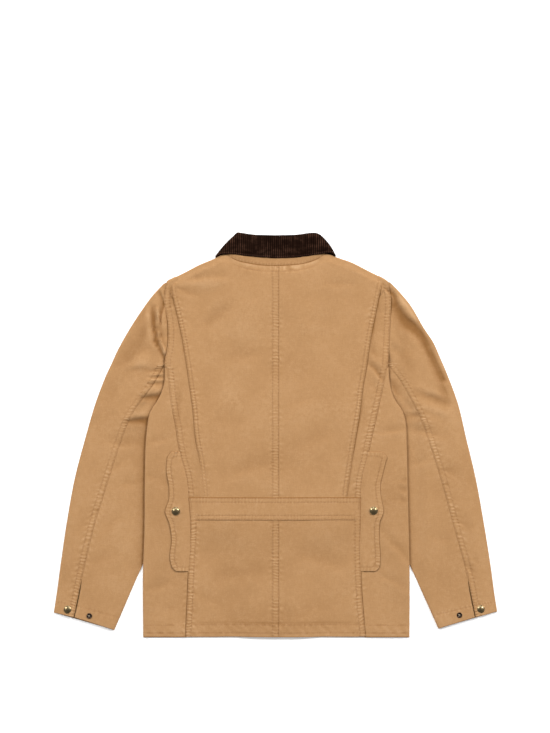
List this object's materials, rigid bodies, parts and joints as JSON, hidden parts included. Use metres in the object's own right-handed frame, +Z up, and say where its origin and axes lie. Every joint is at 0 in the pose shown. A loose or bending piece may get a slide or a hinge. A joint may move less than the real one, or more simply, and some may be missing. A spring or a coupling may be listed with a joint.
{
  "type": "canvas field jacket",
  "caption": "Tan canvas field jacket lying flat with its back up, with a dark corduroy collar, action pleats, a half belt, pocket flaps and brass snaps.",
  "frame": {"origin": "middle of the bounding box's bottom face, on the surface that the jacket lies on", "axes": "+X towards the wearer's right sleeve, +Y from the hem to the collar, +Z up, out of the jacket's back"},
  "size_m": [0.864, 0.7885, 0.0123],
  "materials": {
    "tan_canvas": "matt washed cotton canvas",
    "brown_corduroy": "matt ribbed cotton corduroy",
    "antique_brass": "aged, darkened brass"
  },
  "bodies": {
    "root": {"back_center_left": "tan_canvas", "side_back_left": "tan_canvas", "side_panel_left": "tan_canvas", "skirt_left": "tan_canvas", "front_left": "tan_canvas", "top_sleeve_left": "tan_canvas", "under_sleeve_left": "tan_canvas", "pocket_flap_left": "tan_canvas", "back_center_right": "tan_canvas", "side_back_right": "tan_canvas", "side_panel_right": "tan_canvas", "skirt_right": "tan_canvas", "front_right": "tan_canvas", "top_sleeve_right": "tan_canvas", "under_sleeve_right": "tan_canvas", "pocket_flap_right": "tan_canvas", "half_belt": "tan_canvas", "neck_band": "tan_canvas", "collar_leaf": "brown_corduroy", "collar_front_left": "brown_corduroy", "flap_snap_left": "antique_brass", "cuff_snap_left": "antique_brass", "cuff_stud_left": "antique_brass", "collar_front_right": "brown_corduroy", "flap_snap_right": "antique_brass", "cuff_snap_right": "antique_brass", "cuff_stud_right": "antique_brass", "front_snap_1": "antique_brass", "front_snap_2": "antique_brass", "front_snap_3": "antique_brass", "front_snap_4": "antique_brass", "front_snap_5": "antique_brass"}
  },
  "joints": []
}
